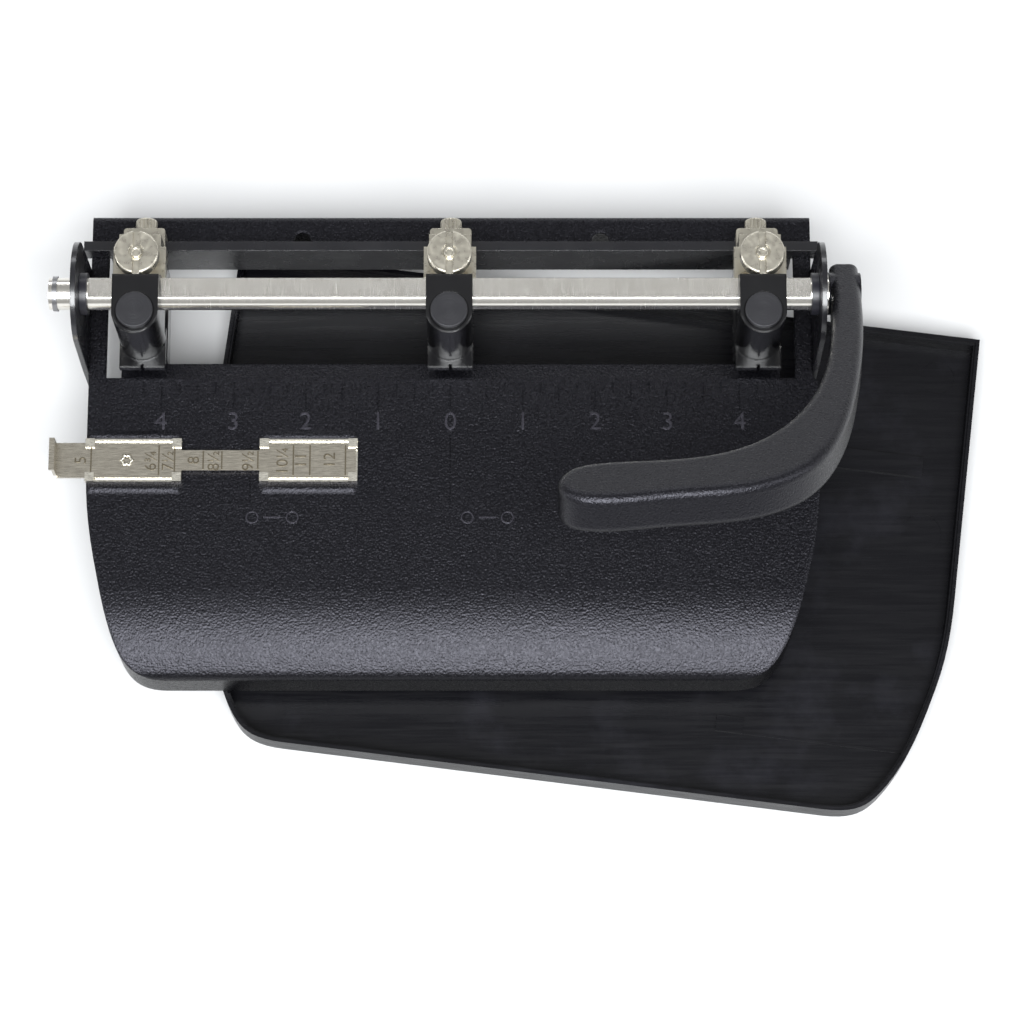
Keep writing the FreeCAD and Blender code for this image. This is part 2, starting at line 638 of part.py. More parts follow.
def long_flat_edge(edge, low):
    """True for an edge of the lever's top or bottom outline away from the boss."""
    box = edge.BoundBox
    flat = box.ZLength < 0.01
    return flat and box.YMax > 20.0 and abs(abs(box.ZMin) - abs(low)) < 0.01


def handle_pin():
    """Cross pin, driven in from below, that locks the handle's boss to the shaft."""
    pin = rod(HANDLE_PIN_R, HANDLE_PIN_TOP - HANDLE_PIN_BOTTOM,
              (HANDLE_PIN_X, SHAFT_Y, SHAFT_Z + HANDLE_PIN_BOTTOM), (0, 0, 1))
    return about_x(pin, SHAFT_Y, SHAFT_Z, -HANDLE_TILT)


# ---- Punch heads --------------------------------------------------------------------------
def head_casting(x):
    """C-shaped casting: pin housing, neck behind the throat, and lower jaw with the die."""
    half = HEAD_WIDTH / 2
    x0, x1 = x - half, x + half
    back = [
        (x0, PIN_Y, HOUSING_LOW),
        ("line", (x0, HOUSING_REAR_Y, HOUSING_LOW)),
        ("line", (x0, HOUSING_REAR_Y, HOUSING_SLOPE_Z[0])),
        ("line", (x0, HOUSING_TOP_REAR_Y, HOUSING_SLOPE_Z[1])),
        ("line", (x0, HOUSING_TOP_REAR_Y, HOUSING_TOP)),
        ("line", (x0, PIN_Y, HOUSING_TOP)),
        ("line", (x0, PIN_Y, HOUSING_LOW)),
    ]
    upper = solid_from(back, (HEAD_WIDTH, 0, 0))
    upper = upper.fuse(rod(HOUSING_R, HOUSING_TOP - FOOT_BOTTOM, (x, PIN_Y, FOOT_BOTTOM), (0, 0, 1)))
    web = block(x0 + WEB_INSET, x1 - WEB_INSET, PIN_Y, THROAT_Y + 4, FOOT_BOTTOM, SHOULDER_TOP)
    foot = block(x0, x1, FOOT_FRONT_Y, PIN_Y + 4, FOOT_BOTTOM, FOOT_BOTTOM + FOOT_THICK)
    neck = block(x0, x1, THROAT_Y, NECK_REAR_Y, JAW_BOTTOM, SHOULDER_TOP)
    jaw = block(x0, x1, JAW_FRONT_Y, NECK_REAR_Y, JAW_BOTTOM, JAW_TOP)
    body = upper.fuse([web, foot, neck, jaw]).removeSplitter()
    notch_width, notch_depth = FOOT_NOTCH
    notch = block(x - notch_width / 2, x + notch_width / 2, FOOT_FRONT_Y - 1, FOOT_FRONT_Y + notch_depth,
                  FOOT_BOTTOM - 1, FOOT_BOTTOM + FOOT_THICK + 1)
    body = body.cut(notch)
    tall = PIN_TOP - JAW_BOTTOM
    body = body.cut(rod(PIN_BODY_R + RUN_FIT, tall, (x, PIN_Y, GUIDE_TOP), (0, 0, 1)))
    cap_seat = PIN_TOP - PIN_CAP_THICK - CAP_TRAVEL
    body = body.cut(rod(PIN_CAP_R + RUN_FIT, tall, (x, PIN_Y, cap_seat), (0, 0, 1)))
    body = body.cut(rod(PUNCH_R + RUN_FIT, tall, (x, PIN_Y, FOOT_BOTTOM - 1), (0, 0, 1)))
    body = body.cut(rod(SHAFT_R + RUN_FIT, HEAD_WIDTH, (x0, SHAFT_Y, SHAFT_Z), (1, 0, 0)))
    pocket_r = CAM_R + CLEAR
    pocket_half = CAM_WIDTH / 2 + CLEAR
    pocket = rod(pocket_r, 2 * pocket_half, (x - pocket_half, SHAFT_Y, SHAFT_Z), (1, 0, 0))
    entry = block(x - pocket_half, x + pocket_half, SHAFT_Y - pocket_r, SHAFT_Y + pocket_r,
                  SHOULDER_TOP + 2 * CLEAR, SHAFT_Z)
    body = body.cut(pocket.fuse(entry))
    body = body.cut(rod(DIE_R, DIE_THICK, (x, PIN_Y, JAW_TOP - DIE_THICK), (0, 0, 1)))
    body = body.cut(rod(DIE_R - 0.8, JAW_TOP - JAW_BOTTOM, (x, PIN_Y, JAW_BOTTOM - 1), (0, 0, 1)))
    body = body.cut(rod(STUD_R, STUD_DEPTH, (x, STUD_Y, SHOULDER_TOP - STUD_DEPTH), (0, 0, 1)))
    lead_down, lead_back = JAW_LEAD
    lead = [
        (x0, JAW_FRONT_Y, JAW_TOP),
        ("line", (x0, JAW_FRONT_Y, JAW_TOP - lead_down)),
        ("line", (x0, JAW_FRONT_Y + lead_back, JAW_TOP)),
        ("line", (x0, JAW_FRONT_Y, JAW_TOP)),
    ]
    body = body.cut(solid_from(lead, (HEAD_WIDTH, 0, 0)))
    return body.removeSplitter()


def die_bush(x):
    """Hardened ring let into the lower jaw."""
    ring = rod(DIE_R, DIE_THICK, (x, PIN_Y, JAW_TOP - DIE_THICK), (0, 0, 1))
    return ring.cut(rod(DIE_HOLE_R, DIE_THICK, (x, PIN_Y, JAW_TOP - DIE_THICK), (0, 0, 1)))


def punch_pin(x):
    """Turned pin: cap, guide body slotted at the back for the cam, and the 9/32 inch punch."""
    body = rod(PIN_BODY_R, PIN_TOP - PIN_CAP_THICK - PIN_BODY_BOTTOM, (x, PIN_Y, PIN_BODY_BOTTOM), (0, 0, 1))
    back = SHAFT_Y - SHAFT_R - CLEAR
    body = body.cut(block(x - HOUSING_R, x + HOUSING_R, back, SHAFT_Y, PIN_BODY_BOTTOM - 1, PIN_TOP))
    channel_half = CAM_WIDTH / 2 + CLEAR
    ring_front = SHAFT_Y - CAM_R - CLEAR
    body = body.cut(block(x - channel_half, x + channel_half, ring_front, SHAFT_Y,
                          PIN_BODY_BOTTOM - 1, PIN_TOP))
    lift = CAM_REACH * math.sin(math.radians(CAM_SWING / 2))
    pocket_front = SHAFT_Y - CAM_REACH - CAM_TIP_R - CLEAR
    pocket_half = CAM_TIP_R + CLEAR / 2
    body = body.cut(block(x - channel_half, x + channel_half, pocket_front, SHAFT_Y,
                          SHAFT_Z + lift - pocket_half, SHAFT_Z + lift + pocket_half))
    cap = rod(PIN_CAP_R, PIN_CAP_THICK, (x, PIN_Y, PIN_TOP - PIN_CAP_THICK), (0, 0, 1))
    cap = cap.makeChamfer(PIN_CAP_BEVEL, [edge for edge in cap.Edges if edge.BoundBox.ZMin > PIN_TOP - 0.01])
    punch = rod(PUNCH_R, PIN_BODY_BOTTOM - PIN_TIP, (x, PIN_Y, PIN_TIP), (0, 0, 1))
    concave = Part.makeSphere(PUNCH_HOLLOW_R, Vector(x, PIN_Y, PIN_TIP + PUNCH_HOLLOW - PUNCH_HOLLOW_R))
    return body.fuse([cap, punch]).cut(concave).removeSplitter()


def return_spring(x):
    """Compression spring round the punch, between the guide and the pin's body."""
    bottom = GUIDE_TOP + SPRING_WIRE_R + SPRING_GAP
    height = PIN_BODY_BOTTOM - GUIDE_TOP - 2 * (SPRING_WIRE_R + SPRING_GAP)
    coil_r = (PIN_BODY_R + PUNCH_R) / 2
    helix = Part.makeHelix(height / SPRING_TURNS, height, coil_r)
    profile = Part.Wire([Part.makeCircle(SPRING_WIRE_R, Vector(coil_r, 0, 0), Vector(0, 1, 0))])
    coil = Part.Wire(helix).makePipeShell([profile], True, True)
    coil.translate(Vector(x, PIN_Y, bottom))
    return coil


def clamp_yoke(x):
    """Plated clamp: a thick pad on the head's shoulder and a hook over the rail."""
    half = YOKE_WIDTH / 2
    tail = YOKE_TAIL_WIDTH / 2
    pad = block(x - half, x + half, YOKE_FRONT_Y, YOKE_STEP_Y, SHOULDER_TOP, YOKE_TOP)
    leg_front_y = NECK_REAR_Y + CLEAR
    front_leg = block(x - tail, x + tail, leg_front_y, RAIL_FRONT_Y - YOKE_RAIL_GAP,
                      YOKE_TAIL_BOTTOM, YOKE_TOP)
    rear_leg = block(x - tail, x + tail, RAIL_FRONT_Y + RAIL_THICK + YOKE_RAIL_GAP, YOKE_REAR_Y,
                     YOKE_TAIL_BOTTOM, YOKE_TAIL_TOP)
    bridge = block(x - tail, x + tail, leg_front_y, YOKE_REAR_Y, RAIL_TOP + CLEAR, YOKE_TAIL_TOP)
    yoke = pad.fuse([bridge, front_leg, rear_leg]).removeSplitter()
    yoke = fillet_where(yoke, YOKE_CORNER_R, lambda edge: upright_corner(edge, x))
    yoke = yoke.cut(rod(STUD_R + RUN_FIT, 10, (x, STUD_Y, SHOULDER_TOP - 1), (0, 0, 1)))
    yoke = yoke.cut(rod(THUMB_SHANK_R + RUN_FIT, 12, (x, RAIL_FRONT_Y + 2, THUMB_Z), (0, 1, 0)))
    return yoke


def upright_corner(edge, x):
    """True for the clamp's upright outer corners at its back."""
    box = edge.BoundBox
    upright = box.XLength < 0.01 and box.YLength < 0.01
    return upright and box.YMin > YOKE_REAR_Y - 0.01 and abs(box.XMin - x) > YOKE_TAIL_WIDTH / 2 - 0.1


def lock_stud(x):
    """Stud in the head's shoulder, with a collar below the slotted nut."""
    stud = rod(STUD_R, NUT_TOP - SHOULDER_TOP + STUD_DEPTH - 2, (x, STUD_Y, SHOULDER_TOP - STUD_DEPTH + 2),
               (0, 0, 1))
    collar = rod(STUD_COLLAR_R, NUT_BOTTOM - YOKE_TOP, (x, STUD_Y, YOKE_TOP), (0, 0, 1))
    dimple = rod(STUD_DIMPLE_R, 1, (x, STUD_Y, NUT_TOP - STUD_DIMPLE), (0, 0, 1))
    return stud.fuse(collar).cut(dimple).removeSplitter()


def lock_nut(x):
    """Round slotted nut on the stud."""
    nut = rod(NUT_R, NUT_TOP - NUT_BOTTOM, (x, STUD_Y, NUT_BOTTOM), (0, 0, 1))
    rims = [edge for edge in nut.Edges if edge.BoundBox.ZLength < 0.01]
    nut = nut.makeChamfer(NUT_BEVEL, rims)
    nut = nut.cut(rod(STUD_R + RUN_FIT, 10, (x, STUD_Y, NUT_BOTTOM - 1), (0, 0, 1)))
    counter = rod(STUD_R + NUT_COUNTERBORE, 1, (x, STUD_Y, NUT_TOP - NUT_COUNTERBORE), (0, 0, 1))
    slot = block(x - NUT_SLOT / 2, x + NUT_SLOT / 2, STUD_Y - NUT_R, STUD_Y + NUT_R,
                 NUT_TOP - NUT_SLOT_DEPTH, NUT_TOP + 1)
    return nut.cut([counter, slot])


def thumb_screw(x):
    """Knurled thumb screw through the clamp's rear leg, bearing on the rail."""
    start = YOKE_REAR_Y + THUMB_GAP
    knob = rod(THUMB_R, THUMB_END_Y - start, (x, start, THUMB_Z), (0, 1, 0))
    rear_rim = [edge for edge in knob.Edges
                if edge.BoundBox.YLength < 0.01 and edge.BoundBox.YMin > THUMB_END_Y - 0.1]
    knob = knob.makeFillet(THUMB_EDGE_R, rear_rim)
    grooves = []
    for index in range(THUMB_RIDGES):
        angle = 2 * math.pi * index / THUMB_RIDGES
        gx = x + THUMB_R * math.cos(angle)
        gz = THUMB_Z + THUMB_R * math.sin(angle)
        grooves.append(rod(THUMB_RIDGE_R, 10, (gx, YOKE_REAR_Y - 1, gz), (0, 1, 0)))
    knob = knob.cut(grooves)
    rail_rear = RAIL_FRONT_Y + RAIL_THICK
    shank = rod(THUMB_SHANK_R, YOKE_REAR_Y + 0.5 - rail_rear, (x, rail_rear, THUMB_Z), (0, 1, 0))
    return knob.fuse(shank).removeSplitter()


# ---- Chip tray ----------------------------------------------------------------------------
def tray_block(grow, z0, z1):
    """Solid plan of the tray in register with the base, grown or shrunk, between two heights."""
    side = SIDE_X + TRAY_MARGIN + grow
    rear = REAR_Y + TRAY_MARGIN + grow
    plan = base_plan(TRAY_MARGIN + grow, side, rear, STEP_Y, TRAY_LEFT_TRIM, TRAY_CORNERS_IN, z0)
    return Part.Face(plan).extrude(Vector(0, 0, z1 - z0))


def tray_pole():
    """Point that the tray turns about from its place under the base to where it lies."""
    turn = math.radians(TRAY_TURN)
    a = 1 - math.cos(turn)
    b = math.sin(turn)
    scale = 1 / (a * a + b * b)
    dx, dy = TRAY_SHIFT
    return Vector(scale * (a * dx - b * dy), scale * (b * dx + a * dy), 0)


def place_tray(shape):
    placed = shape.copy()
    placed.rotate(tray_pole(), Vector(0, 0, 1), TRAY_TURN)
    return placed


def chip_tray():
    """Shallow moulded tray with a stepped rim, a floor bar and ejector marks."""
    tray = tray_block(0.0, TRAY_FLOOR, TRAY_RIM_TOP)
    tray = tray.cut(tray_block(-TRAY_WALL, TRAY_FLOOR + TRAY_SHEET, TRAY_RIM_TOP + 1))
    tray = tray.cut(tray_block(-RIM_INSET, TRAY_RIM_TOP - RIM_STEP, TRAY_RIM_TOP + 1))
    floor = TRAY_FLOOR + TRAY_SHEET
    for x0, x1, y0, y1, rise in (TRAY_BAR, TRAY_TAB, TRAY_LINE):
        tray = tray.fuse(block(x0, x1, y0, y1, floor - 0.5, floor + rise))
    for x, y, radius in EJECTOR_SPOTS:
        tray = tray.cut(rod(radius, 1.0, (x, y, floor - EJECTOR_DEPTH), (0, 0, 1)))
    tray = tray.cut(Part.makeCompound(pad_discs()))
    return place_tray(tray.removeSplitter())


def pad_discs():
    """The four round spots near the tray's corners where the pads sit."""
    return [rod(PAD_R, PAD_THICK, (x, y, TRAY_FLOOR), (0, 0, 1)) for x, y in PAD_SPOTS]


def tray_pads():
    """Four round rubber pads let flush into the tray's underside."""
    return place_tray(Part.makeCompound(pad_discs()))


# ---- Every node ---------------------------------------------------------------------------
save("base_cover", base_cover())
save("left_ear", ear(-1))
save("right_ear", ear(1))
save("ear_rivets", ear_rivets())
save("left_bushing", bushing(-1))
save("right_bushing", bushing(1))
save("rear_rail", rear_rail())
for clip_name, clip_span in CLIP_SPANS.items():
    save(clip_name, gauge_clip(clip_span))
save("clip_rivets", clip_rivets())
save("paper_gauge", paper_gauge())
save("drive_shaft", drive_shaft())
save("retaining_ring", retaining_ring())
save("right_washer", right_washer())
save("handle", handle())
save("handle_pin", handle_pin())
for head_name, head_x in HEAD_XS.items():
    save(head_name + "_head_casting", head_casting(head_x))
    save(head_name + "_die_bush", die_bush(head_x))
    save(head_name + "_punch_pin", punch_pin(head_x))
    save(head_name + "_return_spring", return_spring(head_x))
    save(head_name + "_drive_cam", drive_cam(head_x))
    save(head_name + "_clamp_yoke", clamp_yoke(head_x))
    save(head_name + "_lock_stud", lock_stud(head_x))
    save(head_name + "_lock_nut", lock_nut(head_x))
    save(head_name + "_thumb_screw", thumb_screw(head_x))
save("chip_tray", chip_tray())
save("tray_pads", tray_pads())
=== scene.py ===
import math

import bmesh
import bpy
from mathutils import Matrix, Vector


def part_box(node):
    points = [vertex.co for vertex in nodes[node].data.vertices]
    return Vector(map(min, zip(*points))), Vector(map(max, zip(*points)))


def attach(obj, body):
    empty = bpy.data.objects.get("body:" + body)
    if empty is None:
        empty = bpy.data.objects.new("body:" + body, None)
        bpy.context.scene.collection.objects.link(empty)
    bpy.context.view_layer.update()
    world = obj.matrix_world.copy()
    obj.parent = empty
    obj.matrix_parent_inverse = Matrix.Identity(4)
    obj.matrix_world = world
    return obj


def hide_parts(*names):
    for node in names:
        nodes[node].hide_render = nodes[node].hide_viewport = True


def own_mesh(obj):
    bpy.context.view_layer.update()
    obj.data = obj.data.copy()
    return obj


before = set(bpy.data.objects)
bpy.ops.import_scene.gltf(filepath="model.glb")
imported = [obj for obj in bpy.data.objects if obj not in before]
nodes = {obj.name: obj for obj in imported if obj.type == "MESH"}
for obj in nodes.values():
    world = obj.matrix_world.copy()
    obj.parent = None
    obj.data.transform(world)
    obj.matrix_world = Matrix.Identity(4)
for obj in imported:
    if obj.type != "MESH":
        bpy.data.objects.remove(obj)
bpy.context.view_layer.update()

# ---- Pressed-steel base cover -------------------------------------------------------------
# One sheet of steel, blanked, pressed and bent, then sprayed with black wrinkle enamel and baked.
# The enamel shrinks into a leather-like pebble about a millimetre across, with a low, broken gloss.


def linear(hex_colour):
    """An sRGB hex colour as the linear colour that a shader takes."""
    values = [int(hex_colour[i:i + 2], 16) / 255 for i in (0, 2, 4)]
    toe_end, toe_slope, lift, power = 0.04045, 12.92, 0.055, 2.4
    return [v / toe_slope if v <= toe_end else ((v + lift) / (1 + lift)) ** power for v in values] + [1.0]


def add(material, kind, settings=None, values=None, links=None):
    """Adds one node with its settings, unlinked values and links from other nodes."""
    made = material.node_tree.nodes.new(kind)
    for name, value in (settings or {}).items():
        setattr(made, name, value)
    for name, value in (values or {}).items():
        made.inputs[name].default_value = value
    for name, (source, output) in (links or {}).items():
        material.node_tree.links.new(source.outputs[output], made.inputs[name])
    return made


def wall_shine(material, least, most):
    """Shine that drops from level faces to upright ones, which the spray or the mould leaves matt."""
    face = add(material, "ShaderNodeNewGeometry")
    parts = add(material, "ShaderNodeSeparateXYZ", None, None, {"Vector": (face, "Normal")})
    rise = add(material, "ShaderNodeMath", {"operation": "ABSOLUTE"}, None, {0: (parts, "Z")})
    return add(material, "ShaderNodeMapRange", None,
               {"From Min": 0.1, "From Max": 0.5, "To Min": least, "To Max": most},
               {"Value": (rise, "Value")})


def finish_material(material, shader):
    """Joins the shader to the output and hands the material back."""
    output = add(material, "ShaderNodeOutputMaterial")
    material.node_tree.links.new(shader.outputs["BSDF"], output.inputs["Surface"])
    return material


def empty_material(name):
    """A new material with no nodes in it."""
    material = bpy.data.materials.new(name)
    material.use_nodes = True
    material.node_tree.nodes.clear()
    return material


def coat_node(name, material):
    """Gives a CAD node its material, all over."""
    mesh = nodes[name].data
    mesh.materials.clear()
    mesh.materials.append(material)


mm = 0.001
PEBBLE = 0.72 * mm
PEBBLE_DEPTH = 0.15 * mm
FOLD_SOFTENING = 1.6 * mm
BEVEL_SAMPLES = 4


def wrinkle_enamel(name, dark, light, pebble, depth, gloss, edge, index):
    """Baked wrinkle enamel: rounded pebbles with finer grain between them, thick over the edges."""
    material = empty_material(name)
    place = add(material, "ShaderNodeTexCoord")
    rounded = add(material, "ShaderNodeBevel", {"samples": BEVEL_SAMPLES}, {"Radius": edge})
    pebbles = add(material, "ShaderNodeTexVoronoi", {"feature": "SMOOTH_F1"},
                  {"Scale": 1 / pebble, "Smoothness": 0.6, "Randomness": 1.0},
                  {"Vector": (place, "Object")})
    grain = add(material, "ShaderNodeTexNoise", None,
                {"Scale": 0.8 / pebble, "Detail": 4.0, "Roughness": 0.62, "Distortion": 0.4},
                {"Vector": (place, "Object")})
    relief = add(material, "ShaderNodeMath", {"operation": "ADD"}, None,
                 {0: (pebbles, "Distance"), 1: (grain, "Fac")})
    bump = add(material, "ShaderNodeBump", None, {"Strength": 0.9, "Distance": depth},
               {"Height": (relief, "Value"), "Normal": (rounded, "Normal")})
    colour = add(material, "ShaderNodeMix", {"data_type": "RGBA"},
                 {"A": linear(dark), "B": linear(light)}, {"Factor": (grain, "Fac")})
    rough = add(material, "ShaderNodeMapRange", None,
                {"From Min": 0.3, "From Max": 0.7, "To Min": gloss - 0.08, "To Max": gloss + 0.1},
                {"Value": (grain, "Fac")})
    shine = wall_shine(material, 0.15, 0.5)
    shader = add(material, "ShaderNodeBsdfPrincipled", None,
                 {"IOR": index, "Specular Tint": linear("ebeaf8")},
                 {"Base Color": (colour, "Result"), "Roughness": (rough, "Result"),
                  "Normal": (bump, "Normal"), "Specular IOR Level": (shine, "Result")})
    return finish_material(material, shader)


base_enamel = wrinkle_enamel("black wrinkle enamel", "040405", "09090c", PEBBLE, PEBBLE_DEPTH, 0.28,
                             FOLD_SOFTENING, 1.33)
coat_node("base_cover", base_enamel)

# ---- Numbers and marks stamped in the base ------------------------------------------------
# The ruler's numbers are struck into the sheet before it is sprayed, inches each side of zero.
# They stand as low, soft-edged ridges, where the enamel lies thinner and smoother; their paler colour is a
# painted highlight for the light the raised figures catch.
plate_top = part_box("left_gauge_clip")[0].z
INCH = 25.4 * mm
# Both colours are paler than the plate's enamel: a painted highlight on the raised figures and marks.
painted_highlight_stamp_enamel = wrinkle_enamel("stamping enamel with painted highlight", "19181c", "26252a", 0.6 * mm, 0.06 * mm, 0.24,
                              0.25 * mm, 1.5)


def stamped_text(name, words, size, centre, turn, height, material, body):
    """Raised number of one height, centred on a point of a flat face."""
    curve = bpy.data.curves.new(name, "FONT")
    curve.body = words
    curve.size = size
    curve.align_x = "CENTER"
    curve.align_y = "CENTER"
    rounding = height / 4
    curve.extrude = height / 2
    curve.bevel_depth = rounding
    curve.offset = -rounding
    curve.materials.append(material)
    text = bpy.data.objects.new(name, curve)
    bpy.context.scene.collection.objects.link(text)
    text.location = centre
    text.rotation_euler = (0.0, 0.0, math.radians(turn))
    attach(text, body)


DIGIT_SIZE = 9.2 * mm
DIGIT_Y = 7.2 * mm
DIGIT_HEIGHT = 0.45 * mm
LAST_INCH = 4
for inch in range(-LAST_INCH, LAST_INCH + 1):
    stamped_text(f"ruler_number_{inch + LAST_INCH + 1}", str(abs(inch)), DIGIT_SIZE,
                 (inch * INCH, DIGIT_Y, plate_top), 0, DIGIT_HEIGHT, painted_highlight_stamp_enamel, "base")


def mesh_object(name, bm, material, body, smooth=True):
    """Turns a bmesh into a piece that rides on a body."""
    mesh = bpy.data.meshes.new(name)
    bm.to_mesh(mesh)
    bm.free()
    if smooth:
        for face in mesh.polygons:
            face.use_smooth = True
    mesh.materials.append(material)
    piece = bpy.data.objects.new(name, mesh)
    bpy.context.scene.collection.objects.link(piece)
    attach(piece, body)


def ring_band(bm, centre, radius, width, height, steps=40):
    """Low ring of trapezoid section lying on a flat face."""
    rows = []
    section = [(-width / 2, 0.0), (-width / 4, height), (width / 4, height), (width / 2, 0.0)]
    for step in range(steps):
        angle = 2 * math.pi * step / steps
        across, along = math.cos(angle), math.sin(angle)
        rows.append([bm.verts.new((centre[0] + (radius + u) * across, centre[1] + (radius + u) * along,
                                   centre[2] + v)) for u, v in section])
    for step in range(steps):
        here, there = rows[step], rows[(step + 1) % steps]
        for k in range(len(section)):
            bm.faces.new((here[k], there[k], there[(k + 1) % len(section)], here[(k + 1) % len(section)]))


# Two small pictograms, a pair of rings each, mark where heads go for two-hole work.
PICTOGRAM_XS = (-62.0 * mm, 13.0 * mm)
PICTOGRAM_Y = -27.5 * mm
RING_OFFSET = 7.0 * mm
RING_RADIUS = 2.0 * mm
STROKE = 0.7 * mm
RING_RISE = 0.2 * mm
BAR_LENGTH = 6.0 * mm
BAR_HEIGHT = 0.3 * mm
for number, px in enumerate(PICTOGRAM_XS):
    marks = bmesh.new()
    for dx in (-RING_OFFSET, RING_OFFSET):
        ring_band(marks, (px + dx, PICTOGRAM_Y, plate_top), RING_RADIUS, STROKE, RING_RISE)
    bar = bmesh.ops.create_cube(marks, size=1.0)["verts"]
    bmesh.ops.scale(marks, vec=(BAR_LENGTH, STROKE, BAR_HEIGHT), verts=bar)
    bmesh.ops.translate(marks, vec=(px, PICTOGRAM_Y, plate_top), verts=bar)
    mesh_object(f"two_hole_mark_{number + 1}", marks, painted_highlight_stamp_enamel, "base", smooth=False)

# ---- Side plates, rail and rivets ---------------------------------------------------------
# Blanked steel plates and a flat bar, painted with smooth satin black after they are fixed.
# The film is even, with a faint orange peel.


def smooth_enamel(name, colour, gloss, peel, depth, coat, edge):
    """Smooth paint with the slight waviness of a sprayed film."""
    material = empty_material(name)
    rounded = add(material, "ShaderNodeBevel", {"samples": BEVEL_SAMPLES}, {"Radius": edge})
    place = add(material, "ShaderNodeTexCoord")
    waves = add(material, "ShaderNodeTexNoise", None, {"Scale": 1 / peel, "Detail": 2.0, "Roughness": 0.5},
                {"Vector": (place, "Object")})
    cloud = add(material, "ShaderNodeTexNoise", None, {"Scale": 90.0, "Detail": 3.0},
                {"Vector": (place, "Object")})
    bump = add(material, "ShaderNodeBump", None, {"Strength": 0.6, "Distance": depth},
               {"Height": (waves, "Fac"), "Normal": (rounded, "Normal")})
    rough = add(material, "ShaderNodeMapRange", None,
                {"From Min": 0.3, "From Max": 0.7, "To Min": gloss - 0.04, "To Max": gloss + 0.06},
                {"Value": (cloud, "Fac")})
    shader = add(material, "ShaderNodeBsdfPrincipled", None,
                 {"Base Color": linear(colour), "IOR": 1.5, "Coat Weight": coat, "Coat Roughness": 0.08},
                 {"Roughness": (rough, "Result"), "Normal": (bump, "Normal")})
    return finish_material(material, shader)


satin_enamel = smooth_enamel("satin black enamel", "0e0e12", 0.27, 1.6 * mm, 0.08 * mm, 0.3, 0.6 * mm)
for name in ("left_ear", "right_ear", "ear_rivets", "rear_rail"):
    coat_node(name, satin_enamel)

# ---- Bearings -----------------------------------------------------------------------------
# Two flanged sleeves moulded in black acetal and pressed into the side plates.
# Acetal is waxy, with a soft sheen and fine scuffs from the shaft.
acetal = smooth_enamel("moulded black acetal", "15151c", 0.36, 0.8 * mm, 0.04 * mm, 0.0, 0.5 * mm)
for name in ("left_bushing", "right_bushing"):
    coat_node(name, acetal)

# ---- Drive shaft and its hardware ---------------------------------------------------------
# Centreless-ground steel bar with a long milled flat. Grinding leaves hair-fine lines round it.


def drawn_steel(name, colour, gloss, spacing, stretch, depth):
    """Metal with fine lines across one direction; stretch scales the grain along each axis."""
    material = empty_material(name)
    place = add(material, "ShaderNodeTexCoord")
    squeeze = add(material, "ShaderNodeMapping", None, {"Scale": stretch}, {"Vector": (place, "Object")})
    lines = add(material, "ShaderNodeTexNoise", None,
                {"Scale": 1 / spacing, "Detail": 3.0, "Roughness": 0.6},
                {"Vector": (squeeze, "Vector")})
    bump = add(material, "ShaderNodeBump", None, {"Strength": 0.5, "Distance": depth},
               {"Height": (lines, "Fac")})
    rough = add(material, "ShaderNodeMapRange", None,
                {"From Min": 0.3, "From Max": 0.7, "To Min": gloss - 0.06, "To Max": gloss + 0.08},
                {"Value": (lines, "Fac")})
    shader = add(material, "ShaderNodeBsdfPrincipled", None,
                 {"Base Color": linear(colour), "Metallic": 1.0},
                 {"Roughness": (rough, "Result"), "Normal": (bump, "Normal")})
    return finish_material(material, shader)


EVEN = (1.0, 1.0, 1.0)
ROUND_THE_BAR = (1.0, 0.02, 0.02)
ground_steel = drawn_steel("centreless ground steel", "e2dfd8", 0.2, 0.12 * mm, ROUND_THE_BAR, 0.002 * mm)
spring_steel = drawn_steel("oiled spring steel", "8c8c8e", 0.32, 0.3 * mm, EVEN, 0.01 * mm)
for name in ("drive_shaft", "right_washer"):
    coat_node(name, ground_steel)
for name in ("retaining_ring", "handle_pin"):
    coat_node(name, spring_steel)

# ---- Lever --------------------------------------------------------------------------------
# A die casting, bead blasted and sprayed with matt textured black.
# The coat has a very fine even grit and hides the parting line.
textured_enamel = wrinkle_enamel("fine textured black coat", "070709", "0e0e11", 0.62 * mm, 0.12 * mm, 0.3,
                                 0.9 * mm, 1.36)
coat_node("handle", textured_enamel)

# ---- Punch heads --------------------------------------------------------------------------
# Each head is an iron casting dipped in gloss black, with a plated clamp and turned parts.
# Dipping leaves a thick wet film that rounds every edge and mirrors the lights.
gloss_enamel = smooth_enamel("dipped gloss black enamel", "060608", 0.2, 2.2 * mm, 0.12 * mm, 0.25,
                             1.1 * mm)


